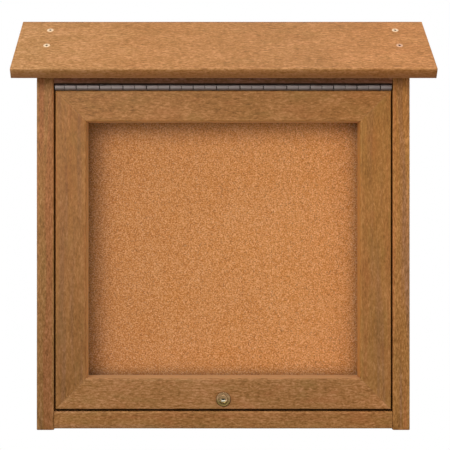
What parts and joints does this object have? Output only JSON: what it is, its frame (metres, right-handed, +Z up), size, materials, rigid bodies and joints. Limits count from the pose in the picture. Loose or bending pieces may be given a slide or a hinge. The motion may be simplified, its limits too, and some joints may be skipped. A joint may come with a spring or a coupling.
{
  "type": "lockable notice board",
  "caption": "Lockable outdoor notice board: a shallow plastic-lumber case with a sloping roof, a glazed door hinged along its top, a cam lock and a cork back.",
  "frame": {"origin": "centre of the back panel's rear face, which lies against the wall", "axes": "+Y out of the back, into the wall; +Z up; +X to the right for someone facing the door"},
  "size_m": [0.454, 0.0879, 0.4533],
  "materials": {
    "roof_lumber": "tan recycled-plastic lumber with an embossed wood grain, satin",
    "case_lumber": "tan recycled-plastic lumber with an embossed wood grain, satin",
    "panel_lumber": "tan recycled-plastic sheet, satin",
    "fibreboard": "brown fibreboard, matt",
    "cork": "natural granulated cork, matt",
    "lock_fittings": "zinc-plated steel",
    "hinge": "mill-finish stainless steel, fine brushed",
    "coated_screws": "tan coated steel, satin",
    "screws": "plain stainless steel",
    "door_lumber": "tan recycled-plastic lumber with an embossed wood grain, satin",
    "glazing": "clear flat glazing sheet, polished",
    "lock": "warm nickel plate, polished with fine scratches"
  },
  "bodies": {
    "cabinet": {"roof_board": "roof_lumber", "left_side_board": "case_lumber", "right_side_board": "case_lumber", "header_board": "case_lumber", "bottom_board": "case_lumber", "back_panel": "panel_lumber", "cork_backing": "fibreboard", "cork_sheet": "cork", "left_door_stop": "case_lumber", "right_door_stop": "case_lumber", "lock_strike_plate": "lock_fittings", "hinge_frame_leaf": "hinge", "hinge_pin": "hinge", "roof_screw_1": "coated_screws", "roof_screw_2": "coated_screws", "roof_screw_3": "coated_screws", "roof_screw_4": "coated_screws", "header_screw_1": "screws", "header_screw_2": "screws", "header_screw_3": "screws", "header_screw_4": "screws", "bottom_screw_1": "screws", "bottom_screw_2": "screws", "bottom_screw_3": "screws", "bottom_screw_4": "screws", "back_panel_screw_1": "screws", "back_panel_screw_2": "screws", "back_panel_screw_3": "screws", "back_panel_screw_4": "screws", "strike_plate_screw_1": "screws", "strike_plate_screw_2": "screws", "frame_leaf_screw_1": "screws", "frame_leaf_screw_2": "screws", "frame_leaf_screw_3": "screws"},
    "door": {"door_top_rail": "door_lumber", "door_bottom_rail": "door_lumber", "door_left_stile": "door_lumber", "door_right_stile": "door_lumber", "glazing_panel": "glazing", "hinge_door_leaf": "hinge", "lock_housing": "lock", "lock_nut": "lock_fittings", "mitre_screw_1": "screws", "mitre_screw_2": "screws", "mitre_screw_3": "screws", "mitre_screw_4": "screws", "glazing_screw_1": "screws", "glazing_screw_2": "screws", "glazing_screw_3": "screws", "glazing_screw_4": "screws", "glazing_screw_5": "screws", "glazing_screw_6": "screws", "glazing_screw_7": "screws", "glazing_screw_8": "screws", "door_leaf_screw_1": "screws", "door_leaf_screw_2": "screws", "door_leaf_screw_3": "screws"},
    "lock": {"lock_plug": "lock", "lock_cam": "lock_fittings", "cam_screw": "screws"}
  },
  "joints": [
    {"name": "door_swing", "type": "hinge", "parent": "cabinet", "child": "door", "pos_m": [0, -0.05715, 0.1526], "axis": [-1, 0, 0], "range_deg": [0, 106]},
    {"name": "lock_turn", "type": "hinge", "parent": "door", "child": "lock", "pos_m": [0, -0.05715, -0.1864], "axis": [0, 1, 0], "range_deg": [0, 90]}
  ]
}
